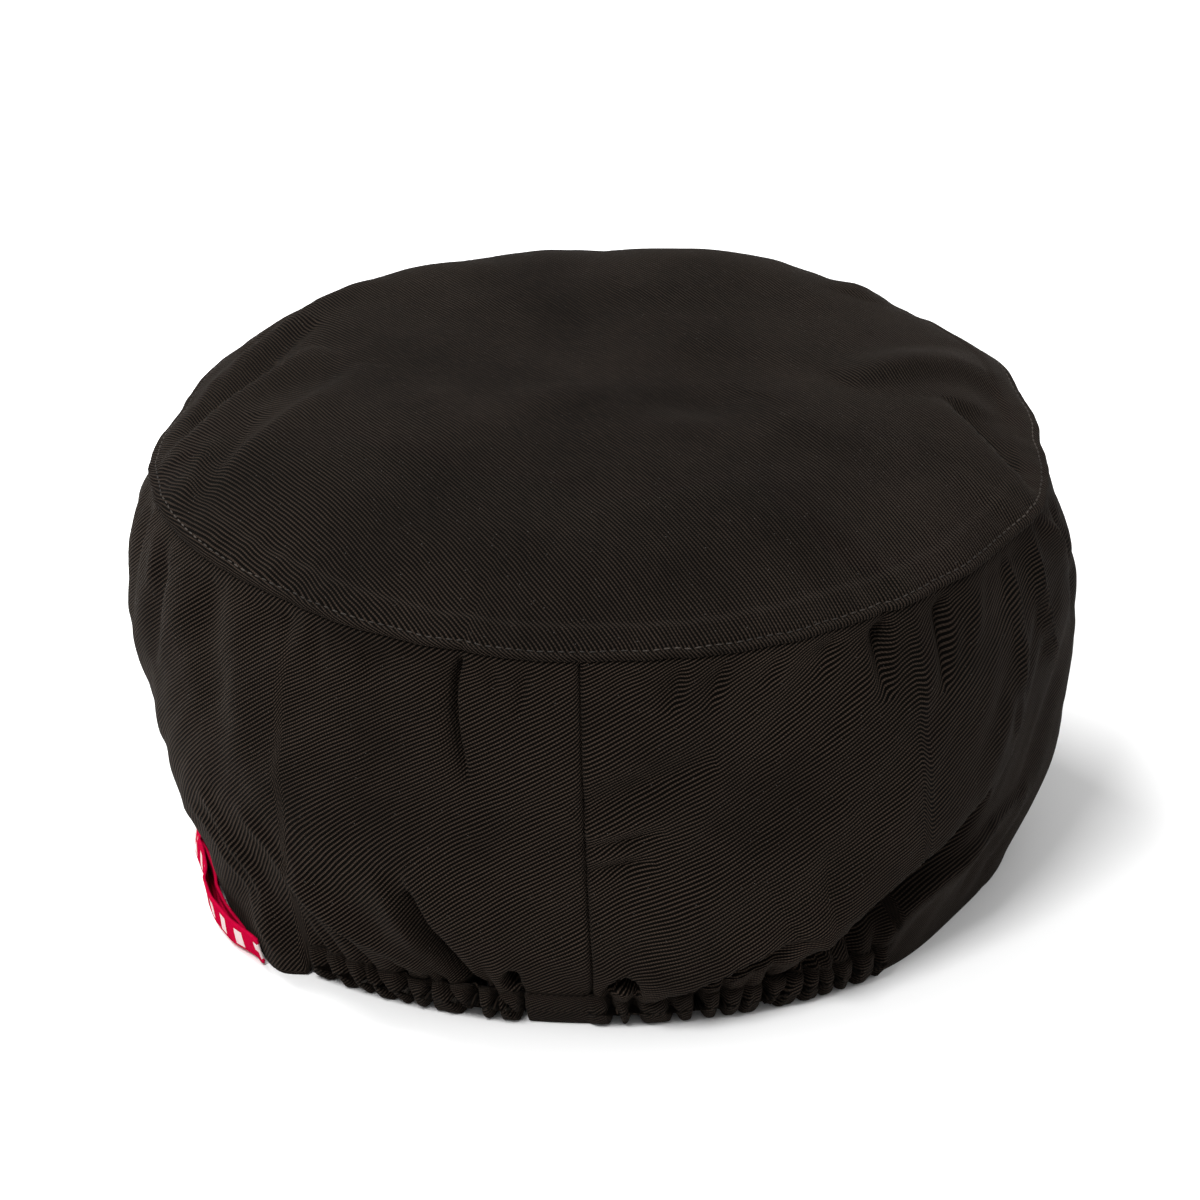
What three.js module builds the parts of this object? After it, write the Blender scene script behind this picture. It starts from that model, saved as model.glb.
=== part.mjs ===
// A chef's skull cap of cotton twill: a domed top panel on a wall that pouches out over a gathered hem.
// The brow is towards -Y, the back of the head is towards +Y, and the hem lies on the plane z = 0.
// An azimuth is in degrees. It starts at the middle of the back and grows towards -X, the wearer's right.
import * as THREE from "three";

// Driving sizes, in millimetres.
const CLOTH = 1.6; // one wall of twill with its turned edges
const SEAM_GAP = 0.3; // between pieces that are sewn together

const HEM_HALF_WIDTH = 90;
const HEM_TO_BACK = 90;
const HEM_TO_FRONT = 92;
const HEM_FACING = 2.6; // the doubled cloth along the hem
const FACING_HEIGHT = 28;

const CROWN_HALF_WIDTH = 95; // at the seam between the wall and the top panel
const CROWN_TO_BACK = 86;
const CROWN_TO_FRONT = 94.5;
const CROWN_RISE = 13; // the top panel's dome over its seam

const WALL_HEIGHT = 87; // from the hem up to the seam, at the sides
const BACK_DROP = 7.5; // how much lower the seam lies at the back
const FRONT_RISE = 11; // how much higher it lies at the brow
const POUCH_AT_BACK = 14.5; // how far the wall's curve reaches out above the hem
const POUCH_AT_SIDE = 6;
const POUCH_AT_FRONT = 6;
const SHOULDER_AT_BACK = 8; // how far the wall's curve reaches out below the seam
const SHOULDER_AT_SIDE = 12.5;
const SHOULDER_AT_FRONT = 8;
const BACK_SEAM_DIP = 1.1; // the groove of the centre-back seam
const BACK_SEAM_HALF_WIDTH = 3;

const RIM_HEIGHT = 2.4; // the top panel's edge is three layers thick
const RIM_PROUD = 0.6;
const RIM_WIDTH = 7;

const CASING_HEIGHT = 8; // the channel that holds the elastic
const CASING_THICKNESS = 4.4;
const CASING_PUFF = 1.8; // how far a scallop swells out between two notches
const NOTCH_DEPTH = 2.2;
const NOTCH_HALF_WIDTH = 1.9;
const NOTCH_RISE = 1.6; // how far the lower edge lifts at a notch
const GATHER_REACH = 9; // how far a notch's gather runs up the wall

const LABEL_LENGTH = 58;
const LABEL_HEIGHT = 13;
const LABEL_THICKNESS = 1;
const LABEL_ABOVE_HEM = 0.6;
const LABEL_EASE = 0.8; // room between the tape and the wall at its lower edge
const LABEL_STAND_OFF = 4.2; // at the lower back corner, which lifts off the wall

// Angles, in degrees of azimuth.
const CASING_ENDS = [-40, 40];
const PLAIN_STRETCH = [-9, -0.5]; // where the casing isn't gathered
const LABEL_BACK_END = -48;

const FULL_TURN = 360;

// Shape of the curves: no unit.
const SQUARENESS = 0.97; // 1 is an ellipse, and less is squarer
const DOME_POWER = 3.2;

// How fine the meshes are.
const WALL_ROWS = 15;
const DOME_ROWS = 9;
const UNDERSIDE_ROWS = 5;
const CASING_COLUMNS = 84;
const LABEL_COLUMNS = 10;
const FOLD_STEPS = 10;
const COLUMN_STEPS = table("upTo step", [
  [40, 2],
  [70, 3],
  [180, 5.5],
]);

// Folds of the wall. A fold runs along a curve from its first point over its middle to its last one.
// Heights are shares of the seam's, and widths and the rise are shares of WALL_HEIGHT. Seen from outside with the
// fold running away from the eye, "left" and "right" are its two flanks, and a rise under 0 is a valley.
const FOLD_COLUMNS = "az1 at1 az2 at2 az3 at3 left right rise";
const WALL_FOLDS = table(FOLD_COLUMNS, [
  [-20, 1.04, -19, 0.86, -17, 0.66, 0.05, 0.12, 0.026],
  [-17, 1.04, -17, 0.88, -15, 0.68, 0.035, 0.05, -0.036],
  [-9, 1.04, -9, 0.95, -8, 0.86, 0.04, 0.04, -0.012],
  [12, 1.04, 10, 0.94, 7, 0.84, 0.05, 0.05, -0.018],
  [36, 1.04, 35.5, 0.9, 34, 0.76, 0.05, 0.06, -0.04],
  [40, 1.02, 40, 0.86, 38, 0.72, 0.06, 0.06, 0.02],
  [47, 1.04, 46, 0.88, 43, 0.68, 0.05, 0.07, -0.04],
  [-1, 0.58, 6, 0.66, 14, 0.76, 0.12, 0.1, -0.024],
  [-26, 0.42, -20, 0.3, -12, 0.12, 0.08, 0.09, -0.045],
  [-34, 0.4, -26, 0.22, -16, 0.06, 0.06, 0.06, 0.024],
  [-54, 0.4, -47, 0.24, -38, 0.06, 0.07, 0.06, 0.026],
  [-57, 1.04, -55, 0.84, -51, 0.6, 0.09, 0.09, -0.03],
  [-66, 1.02, -68, 0.86, -70, 0.68, 0.08, 0.08, -0.03],
  [4, 0.08, 13, 0.22, 24, 0.28, 0.16, 0.06, 0.045],
  [20, 0.12, 33, 0.32, 48, 0.44, 0.2, 0.07, 0.064],
  [40, 0.06, 49, 0.2, 60, 0.36, 0.06, 0.07, -0.03],
  [66, 1.02, 66, 0.75, 69, 0.4, 0.09, 0.08, 0.028],
  [78, 1.0, 82, 0.7, 86, 0.3, 0.12, 0.12, 0.02],
  [92, 1.04, 94, 0.9, 92, 0.7, 0.1, 0.1, -0.042],
  [128, 1.04, 126, 0.84, 122, 0.66, 0.1, 0.1, -0.026],
  [-112, 0.04, -88, 0.14, -66, 0.2, 0.2, 0.2, -0.034],
  [-60, -0.1, -50, 0.02, -36, -0.1, 0.1, 0.1, 0.022],
  [-104, 1.04, -102, 0.86, -98, 0.66, 0.1, 0.1, -0.022],
  [-140, 1.04, -142, 0.84, -138, 0.66, 0.12, 0.12, -0.02],
]);

// Folds of the top panel. A place is an azimuth and a share of the way from the centre to the seam.
// Widths and the rise are shares of the crown's half width.
const CROWN_FOLDS = table(FOLD_COLUMNS, [
  [-84, 1.04, -104, 0.92, -140, 0.86, 0.06, 0.06, 0.03],
  [-80, 0.98, -104, 0.82, -128, 0.76, 0.06, 0.07, -0.024],
  [-62, 1.0, -86, 0.78, -114, 0.58, 0.08, 0.08, 0.022],
  [-56, 0.96, -70, 0.8, -88, 0.66, 0.06, 0.06, -0.012],
  [66, 1.02, 84, 0.88, 104, 0.78, 0.07, 0.04, 0.028],
  [76, 1.04, 88, 0.92, 98, 0.86, 0.07, 0.07, -0.06],
  [114, 0.54, 109, 0.78, 100, 1.04, 0.06, 0.08, 0.034],
  [126, 1.04, 124, 0.9, 120, 0.76, 0.06, 0.06, -0.028],
  [140, 1.04, 138, 0.92, 134, 0.8, 0.06, 0.06, 0.02],
  [52, 0.12, 68, 0.24, 88, 0.34, 0.1, 0.1, -0.01],
]);

// Notches of the gathered casing. A depth is a share of NOTCH_DEPTH.
const NOTCHES = table("azimuth depth", [
  [-36, 0.5],
  [-33, 0.7],
  [-29, 0.9],
  [-26, 0.8],
  [-23, 0.9],
  [-19.5, 0.8],
  [-17, 0.7],
  [-15, 0.8],
  [-12, 0.7],
  [-9, 1],
  [0.3, 1],
  [5, 1],
  [8, 0.5],
  [11.5, 0.9],
  [16, 0.9],
  [20.5, 1],
  [24, 1],
  [28, 0.9],
  [31.5, 0.6],
  [34, 0.9],
  [37.5, 0.7],
]);

const degrees = THREE.MathUtils.degToRad;

// Rows of numbers as objects with the column names as keys.
function table(columns, rows) {
  const names = columns.split(" ");
  return rows.map((row) => Object.fromEntries(row.map((value, i) => [names[i], value])));
}

const bell = (distance, width) => Math.exp(-((distance / width) ** 2));

// The unit direction straight out of the cap at an azimuth.
function outward(azimuth) {
  const angle = degrees(azimuth);
  return new THREE.Vector2(-Math.sin(angle), Math.cos(angle));
}

// A value that changes round the cap from the back over the sides to the front.
function around(azimuth, back, side, front) {
  const c = Math.cos(degrees(azimuth));
  const share = c * c;
  return side * (1 - share) + (c > 0 ? back : front) * share;
}

// A plan outline that is squarer in front than behind.
function plan(azimuth, halfWidth, toBack, toFront) {
  const direction = outward(azimuth);
  const power = direction.y < 0 ? SQUARENESS : (1 + SQUARENESS) / 2;
  const full = (value) => Math.sign(value) * Math.abs(value) ** power;
  const reach = direction.y < 0 ? toFront : toBack;
  return new THREE.Vector2(halfWidth * full(direction.x), reach * full(direction.y));
}

const hemPlan = (azimuth) => plan(azimuth, HEM_HALF_WIDTH, HEM_TO_BACK, HEM_TO_FRONT);
const crownPlan = (azimuth) => plan(azimuth, CROWN_HALF_WIDTH, CROWN_TO_BACK, CROWN_TO_FRONT);
const seamHeight = (azimuth) => WALL_HEIGHT + around(azimuth, -BACK_DROP, 0, FRONT_RISE);

// How high the folds of a table stand at a place, with the fold's curve laid out on a flat map.
function foldRise(folds, place, toMap) {
  const here = toMap(...place);
  let total = 0;
  for (const fold of folds) {
    const from = toMap(fold.az1, fold.at1);
    const middle = toMap(fold.az2, fold.at2);
    const to = toMap(fold.az3, fold.at3);
    const handle = middle.clone().multiplyScalar(2).sub(from.clone().add(to).divideScalar(2));
    const curve = new THREE.QuadraticBezierCurve(from, handle, to);
    let best = { distance: Infinity };
    for (let step = 0; step < FOLD_STEPS; step++) {
      const start = curve.getPoint(step / FOLD_STEPS);
      const run = curve.getPoint((step + 1) / FOLD_STEPS).sub(start);
      const offset = here.clone().sub(start);
      const share = THREE.MathUtils.clamp(offset.dot(run) / run.lengthSq(), 0, 1);
      const distance = offset.distanceTo(run.clone().multiplyScalar(share));
      if (distance < best.distance) {
        best = { distance, side: run.cross(offset), along: (step + share) / FOLD_STEPS };
      }
    }
    const width = best.side > 0 ? fold.left : fold.right;
    total += fold.rise * bell(best.distance, width) * Math.sin(Math.PI * best.along) ** 0.6;
  }
  return total;
}

// The wall laid flat: both coordinates are shares of its height.
function wallMap(azimuth, height) {
  return new THREE.Vector2((degrees(azimuth) * CROWN_HALF_WIDTH) / WALL_HEIGHT, height);
}

// The top panel laid flat, as seen from above with the back upwards and the wearer's right to the right.
function crownMap(azimuth, reach) {
  const direction = outward(azimuth);
  return new THREE.Vector2(-direction.x * reach, direction.y * reach);
}

// 0 between the notches of the hem and 1 in the deepest one.
function notch(azimuth) {
  const depths = NOTCHES.map((row) => {
    const distance = degrees(azimuth - row.azimuth) * HEM_HALF_WIDTH;
    return row.depth * bell(distance, NOTCH_HALF_WIDTH);
  });
  return Math.max(...depths);
}

const isGathered = (azimuth) => azimuth > CASING_ENDS[0] && azimuth < CASING_ENDS[1];

// How far the wall's folds, gathers and back seam move it out at a place.
function wallRise(azimuth, height) {
  const folds = WALL_HEIGHT * foldRise(WALL_FOLDS, [azimuth, height], wallMap);
  const aboveCasing = height * seamHeight(azimuth) - CASING_HEIGHT;
  const gather = NOTCH_DEPTH * notch(azimuth) * bell(Math.max(aboveCasing, 0), GATHER_REACH);
  const seam = BACK_SEAM_DIP * bell(degrees(azimuth) * CROWN_HALF_WIDTH, BACK_SEAM_HALF_WIDTH);
  return folds - gather - seam;
}

// A point of the wall. Its height is a share of the seam's, and its depth is how far inside it lies.
function wallPoint(azimuth, height, depth, rise = wallRise(azimuth, height)) {
  const pouch = around(azimuth, POUCH_AT_BACK, POUCH_AT_SIDE, POUCH_AT_FRONT);
  const shoulder = around(azimuth, SHOULDER_AT_BACK, SHOULDER_AT_SIDE, SHOULDER_AT_FRONT);
  const direction = outward(azimuth);
  const hem = hemPlan(azimuth);
  const crown = crownPlan(azimuth);
  const curve = new THREE.CubicBezierCurve(
    hem,
    hem.clone().addScaledVector(direction, pouch),
    crown.clone().addScaledVector(direction, shoulder),
    crown,
  );
  const place = curve.getPoint(height).addScaledVector(direction, rise - depth);
  return new THREE.Vector3(place.x, place.y, height * seamHeight(azimuth));
}

const seamRise = (azimuth) => wallRise(azimuth, 1);

// A point of the top panel's upper face.
function crownPoint(azimuth, reach) {
  const middleHeight = WALL_HEIGHT + (FRONT_RISE - BACK_DROP) / 4;
  const tilt = (seamHeight(azimuth) - middleHeight) * reach ** 1.5;
  const dome = CROWN_RISE * (1 - reach ** DOME_POWER);
  const folds = CROWN_HALF_WIDTH * foldRise(CROWN_FOLDS, [azimuth, reach], crownMap);
  const settled = folds * (1 - reach ** 8); // the folds flatten where the seam holds the cloth
  const place = crownPlan(azimuth).multiplyScalar(reach);
  place.addScaledVector(outward(azimuth), seamRise(azimuth) * reach ** 4);
  return new THREE.Vector3(place.x, place.y, middleHeight + RIM_HEIGHT + tilt + dome + settled);
}

// Builds a closed solid through columns of points. Each column is a loop, and the columns run on round
// the cap. A closed solid joins its last column to its first, and its loops open at two poles.
function loft(columns, poles = null) {
  const rows = columns[0].length;
  const points = [...columns.flat(), ...(poles ?? [])];
  const faces = [];
  const quad = (a, b, c, d) => faces.push(a, b, c, a, c, d);
  const at = (column, row) => (column % columns.length) * rows + (row % rows);
  const spans = poles ? columns.length : columns.length - 1;
  for (let column = 0; column < spans; column++) {
    for (let row = 0; row < (poles ? rows - 1 : rows); row++) {
      quad(at(column, row), at(column + 1, row), at(column + 1, row + 1), at(column, row + 1));
    }
    if (poles) {
      const pole = columns.length * rows;
      faces.push(at(column, rows - 1), at(column + 1, rows - 1), pole + 1);
      faces.push(at(column + 1, 0), at(column, 0), pole);
    }
  }
  if (!poles) {
    const last = columns.length - 1;
    for (let row = 0; row < rows / 2 - 1; row++) {
      const across = rows - 1 - row;
      quad(at(0, row), at(0, row + 1), at(0, across - 1), at(0, across));
      quad(at(last, across), at(last, across - 1), at(last, row + 1), at(last, row));
    }
  }
  const geometry = new THREE.BufferGeometry();
  geometry.setAttribute("position", new THREE.Float32BufferAttribute(points.flatMap((p) => p.toArray()), 3));
  geometry.setIndex(faces);
  geometry.computeVertexNormals();
  return geometry;
}

// Shares from 0 to 1 in equal steps.
const shares = (steps) => Array.from({ length: steps + 1 }, (_, i) => i / steps);

// Azimuths from the centre-back seam all the way round, closer together at the back.
function columnAzimuths() {
  const half = [];
  let from = 0;
  for (const { upTo, step } of COLUMN_STEPS) {
    const count = Math.round((upTo - from) / step);
    for (const share of shares(count).slice(0, -1)) {
      half.push(from + share * (upTo - from));
    }
    from = upTo;
  }
  const mirrored = half.slice(1).reverse();
  return [...half, from, ...mirrored.map((azimuth) => 2 * from - azimuth)];
}

// An azimuth as a number between -180 and 180.
const wrap = (azimuth) => (azimuth > FULL_TURN / 2 ? azimuth - FULL_TURN : azimuth);

// How far an angle reaches along the hem, as degrees for a length.
const asAngle = (length) => THREE.MathUtils.radToDeg(length / HEM_HALF_WIDTH);

// The wall: a strip whose ends meet at the centre-back seam.
function sideBand() {
  const endGap = asAngle(SEAM_GAP / 2);
  const azimuths = columnAzimuths().slice(1);
  const [from, to] = [CASING_ENDS[0] + FULL_TURN, CASING_ENDS[1]];
  const beside = [to - endGap, to + endGap, from - endGap, from + endGap];
  const clear = azimuths.filter((azimuth) => beside.every((edge) => Math.abs(azimuth - edge) > 4 * endGap));
  const all = [endGap, ...clear, ...beside, FULL_TURN - endGap].sort((a, b) => a - b);
  const columns = all.map((turned) => {
    const azimuth = wrap(turned);
    const lowest = isGathered(azimuth) ? CASING_HEIGHT + SEAM_GAP : 0;
    const low = lowest / seamHeight(azimuth);
    const heights = shares(WALL_ROWS).map((share) => low + (1 - low) * share);
    const outside = heights.map((height) => wallPoint(azimuth, height, 0));
    const inside = heights.map((height) => {
      const facing = Math.min(1, (height * seamHeight(azimuth)) / FACING_HEIGHT);
      return wallPoint(azimuth, height, THREE.MathUtils.lerp(HEM_FACING, CLOTH, facing));
    });
    return [...outside, ...inside.reverse()];
  });
  return loft(columns);
}

// The top panel, with its thick edge standing on the wall's upper edge.
function crownTip() {
  const columns = columnAzimuths().map((turned) => {
    const azimuth = wrap(turned);
    const direction = outward(azimuth);
    const weltReach = 1 - RIM_WIDTH / CROWN_HALF_WIDTH;
    const rimPoint = (out, up) => {
      const place = crownPlan(azimuth).addScaledVector(direction, seamRise(azimuth) + out);
      return new THREE.Vector3(place.x, place.y, seamHeight(azimuth) + up);
    };
    const rim = [
      rimPoint(-CLOTH, SEAM_GAP),
      rimPoint(RIM_PROUD / 2, SEAM_GAP),
      rimPoint(RIM_PROUD, RIM_HEIGHT / 2),
    ];
    const reaches = shares(DOME_ROWS).slice(1);
    const top = reaches.map((reach) => crownPoint(azimuth, reach * (1 - RIM_PROUD / CROWN_HALF_WIDTH)));
    const under = shares(UNDERSIDE_ROWS).slice(1).map((share) => crownPoint(azimuth, share * weltReach));
    under.forEach((point) => point.setZ(point.z - CLOTH));
    return [...under, ...rim, ...top.reverse()];
  });
  const centre = crownPoint(0, 0);
  return loft(columns, [centre.clone().setZ(centre.z - CLOTH), centre]);
}

// The gathered channel round the back of the hem.
function elasticCasing() {
  const ends = [CASING_ENDS[0] + asAngle(1.5 * SEAM_GAP), CASING_ENDS[1] - asAngle(1.5 * SEAM_GAP)];
  const columns = shares(CASING_COLUMNS).map((share) => {
    const azimuth = THREE.MathUtils.lerp(...ends, share);
    const isPlain = azimuth > PLAIN_STRETCH[0] && azimuth < PLAIN_STRETCH[1];
    const dent = notch(azimuth);
    const swell = (isPlain ? 0.3 : 1) * CASING_PUFF * (1 - dent);
    const point = (z, out) => {
      const height = z / seamHeight(azimuth);
      return wallPoint(azimuth, height, 0, out).setZ(z);
    };
    const lift = NOTCH_RISE * dent;
    const gather = -NOTCH_DEPTH * dent;
    return [
      point(lift, gather - CASING_THICKNESS / 4),
      point(lift + CASING_HEIGHT * 0.15, gather + swell * 0.7),
      point(CASING_HEIGHT * 0.5, gather + swell),
      point(CASING_HEIGHT, gather + swell * 0.3),
      point(CASING_HEIGHT, -CASING_THICKNESS),
      point(CASING_HEIGHT * 0.5, -CASING_THICKNESS),
      point(lift + CASING_HEIGHT * 0.15, -CASING_THICKNESS),
      point(lift, -CASING_THICKNESS * 0.8),
    ];
  });
  return loft(columns);
}

// The woven label: sewn on along its upper edge, with its lower back corner standing off the wall.
function wovenLabel() {
  const columns = shares(LABEL_COLUMNS).map((along) => {
    const azimuth = LABEL_BACK_END - asAngle(LABEL_LENGTH) * (1 - along);
    const face = (out) => (down) => {
      const z = LABEL_ABOVE_HEM + LABEL_HEIGHT * (1 - down);
      const lift = LABEL_STAND_OFF * down * along ** 2;
      const clearance = SEAM_GAP + LABEL_EASE * down;
      const height = z / seamHeight(azimuth);
      return wallPoint(azimuth, height, 0, wallRise(azimuth, height) + clearance + lift + out);
    };
    const downs = shares(4);
    return [...downs.toReversed().map(face(LABEL_THICKNESS)), ...downs.map(face(0))];
  });
  return loft(columns);
}

function piece(name, geometry, color, roughness) {
  const material = new THREE.MeshStandardMaterial({ color, roughness, metalness: 0 });
  const mesh = new THREE.Mesh(geometry, material);
  mesh.name = name;
  return mesh;
}

const cap = new THREE.Group();
cap.add(piece("crown_tip", crownTip(), 0x2b2622, 0.9));
cap.add(piece("side_band", sideBand(), 0x241f1c, 0.92));
cap.add(piece("elastic_casing", elasticCasing(), 0x221e1b, 0.92));
cap.add(piece("woven_label", wovenLabel(), 0xc8102a, 0.7));

// The origin is under the middle of the cap, on the surface that it stands on.
const box = new THREE.Box3().setFromObject(cap);
const middle = box.getCenter(new THREE.Vector3());
cap.position.set(-middle.x, -middle.y, -box.min.z);

export default cap;
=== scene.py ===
# %% [markdown]
# A chef's skull cap
#
# The real cap is sewn from dark cotton twill. An oval top panel is seamed to one long strip, whose ends meet
# at the middle of the back. Round the back the strip's lower edge is a channel with elastic in it, which
# gathers the cloth, so the strip pouches out above it. A red woven tape is sewn to the hem on one side.
# The script takes each of these in turn. It thinks in millimetres, because a tailor does, and turns them
# into Blender's metres when a mesh is placed.

from collections import namedtuple

import bmesh
import bpy
import numpy as np
from mathutils import Matrix, Vector, noise


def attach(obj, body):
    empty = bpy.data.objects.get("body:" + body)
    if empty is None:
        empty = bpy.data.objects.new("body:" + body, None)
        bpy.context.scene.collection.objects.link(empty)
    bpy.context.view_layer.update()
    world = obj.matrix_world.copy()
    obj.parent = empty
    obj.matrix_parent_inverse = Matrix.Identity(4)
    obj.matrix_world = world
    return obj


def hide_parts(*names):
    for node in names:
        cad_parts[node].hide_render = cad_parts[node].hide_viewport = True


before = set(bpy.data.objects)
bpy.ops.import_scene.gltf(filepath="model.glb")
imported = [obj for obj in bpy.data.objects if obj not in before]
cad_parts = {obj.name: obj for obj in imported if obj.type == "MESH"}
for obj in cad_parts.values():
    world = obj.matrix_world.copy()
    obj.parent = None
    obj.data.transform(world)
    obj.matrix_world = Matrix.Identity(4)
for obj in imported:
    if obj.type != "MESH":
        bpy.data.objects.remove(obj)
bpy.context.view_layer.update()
MM = 0.001

# %% [markdown]
# The camera
#
# The photograph looks at the back of the cap from a little above. A long lens keeps the cap's sides nearly
# parallel. The camera could be aimed by eye, but here its numbers are the ones that fitted the cap's outline:
# the height angle, the distance, the focal length in pixels and the pixel at the middle of the lens.

# %% Camera
PHOTO_SIDE = 1200
FOCAL_PIXELS = 4630
LENS_CENTRE = (602, 614)
CAMERA_ELEVATION = np.radians(24.5)
CAMERA_DISTANCE = 1.0
AIM_HEIGHT = 0.05
SENSOR = 36

camera = bpy.data.objects.new("camera", bpy.data.cameras.new("camera"))
bpy.context.scene.collection.objects.link(camera)
bpy.context.scene.camera = camera
camera.data.sensor_width = SENSOR
camera.data.lens = FOCAL_PIXELS * SENSOR / PHOTO_SIDE
camera.data.shift_x = (PHOTO_SIDE / 2 - LENS_CENTRE[0]) / PHOTO_SIDE
camera.data.shift_y = (LENS_CENTRE[1] - PHOTO_SIDE / 2) / PHOTO_SIDE
behind = CAMERA_DISTANCE * np.cos(CAMERA_ELEVATION)
above = CAMERA_DISTANCE * np.sin(CAMERA_ELEVATION)
camera.location = (0, behind, AIM_HEIGHT + above)
camera.rotation_euler = (np.pi / 2 - CAMERA_ELEVATION, 0, np.pi)
print("lens", round(camera.data.lens, 1), "mm")

# %% [markdown]
# Light and floor
#
# The cap was lit for a catalogue: big soft lamps and white all round, so the cloth has no hard shadow and its
# outline shines pale where the white room grazes it. Square area lamps give that softness. Two stand high on
# the left, one on the camera's side and one beyond the cap, and a weak one stands on the right. A white
# world fills the rest. The floor is one plain pale sheet.

# %% Light and floor
LAMPS_LOOK_AT = Vector((0, 0, 0.06))
WORLD_STRENGTH = 0.68
FLOOR_SIZE = 6


def soft_lamp(name, place, size, watts):
    """A square lamp that looks at the cap."""
    data = bpy.data.lights.new(name, "AREA")
    data.size = size
    data.energy = watts
    lamp = bpy.data.objects.new(name, data)
    lamp.location = place
    lamp.rotation_euler = (LAMPS_LOOK_AT - Vector(place)).to_track_quat("-Z", "Y").to_euler()
    bpy.context.scene.collection.objects.link(lamp)


soft_lamp("far_left", (0.55, -0.55, 1.05), 0.6, 16)
soft_lamp("near_left", (0.42, 0.85, 1.10), 0.45, 16)
soft_lamp("right", (-1.2, 0.1, 0.7), 0.8, 3)

world = bpy.data.worlds.new("white room")
bpy.context.scene.world = world
world.use_nodes = True
background = world.node_tree.nodes["Background"].inputs
background["Color"].default_value = (1, 1, 1, 1)
background["Strength"].default_value = WORLD_STRENGTH
bpy.context.scene.view_settings.view_transform = "Standard"

floor_form = bmesh.new()
bmesh.ops.create_grid(floor_form, x_segments=1, y_segments=1, size=FLOOR_SIZE / 2)
floor = bpy.data.objects.new("floor", bpy.data.meshes.new("floor"))
floor_form.to_mesh(floor.data)
floor_form.free()
bpy.context.scene.collection.objects.link(floor)
print("lamps and floor are in place")

# %% [markdown]
# Writing a finish as sums
#
# A finish is a web of shader nodes, and most of them only add and multiply. A small class wraps a node's
# output so that Python's own signs make those nodes: `1 - ridge * 0.4` reads like the sum it is. Every other
# kind of node comes from one method, which takes the node's settings first and then what goes in. The flat
# measure that every piece of cloth brings along, as a UV map in millimetres, is read in one place.

# %% A wrapped socket
class Wire:
    """The output of a shader node, with the signs of arithmetic."""

    def __init__(self, finish, socket):
        self.finish = finish
        self.socket = socket

    def math(self, operation, *others):
        values = dict(enumerate((self, *others)))
        return self.finish.node("Math", {"operation": operation}, values)

    def __add__(self, other):
        return self.math("ADD", other)

    def __mul__(self, other):
        return self.math("MULTIPLY", other)

    def __sub__(self, other):
        return self.math("SUBTRACT", other)

    def __rsub__(self, other):
        return self * -1 + other

    __radd__ = __add__
    __rmul__ = __mul__

    def between(self, low, high):
        """The value, held between two limits."""
        return self.math("MAXIMUM", low).math("MINIMUM", high)

    def wave(self, length):
        """A wave from -1 to 1 that comes again after a length."""
        return (self * (2 * np.pi / length)).math("SINE")


# %% A finish
CLOTH_MAP = "cloth_mm"


class Finish:
    """A material in the making."""

    def __init__(self, name):
        self.material = bpy.data.materials.new(name)
        self.material.use_nodes = True
        self.tree = self.material.node_tree
        self.tree.nodes.clear()

    def node(self, kind, settings=None, values=None, output=0):
        made = self.tree.nodes.new("ShaderNode" + kind)
        for name, setting in (settings or {}).items():
            setattr(made, name, setting)
        for name, value in (values or {}).items():
            if isinstance(value, Wire):
                self.tree.links.new(value.socket, made.inputs[name])
            else:
                made.inputs[name].default_value = value
        return Wire(self, made.outputs[output])

    def flat_measure(self):
        """The place on the flat cloth, and its two lengths one by one."""
        place = self.node("UVMap", {"uv_map": CLOTH_MAP})
        x = self.node("SeparateXYZ", None, {0: place})
        y = Wire(self, x.socket.node.outputs[1])
        return place, x, y

    def mix(self, share, low, high):
        """A colour between two others."""
        colours = {0: share, 6: low, 7: high}
        return self.node("Mix", {"data_type": "RGBA"}, colours, output=2)

    def noise(self, place, scale, detail=2.0):
        values = {"Vector": place, "Scale": scale, "Detail": detail}
        return self.node("TexNoise", None, values)

    def end(self, **values):
        """Joins the last shader to the output, and gives the material."""
        named = {name.replace("_", " "): value for name, value in values.items()}
        shader = self.node("BsdfPrincipled", None, named)
        out = self.tree.nodes.new("ShaderNodeOutputMaterial")
        self.tree.links.new(shader.socket, out.inputs["Surface"])
        return self.material


plain = Finish("pale floor")
floor.data.materials.append(plain.end(Base_Color=(0.93, 0.93, 0.93, 1), Roughness=0.8))
print("the floor is pale and matt")
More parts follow.
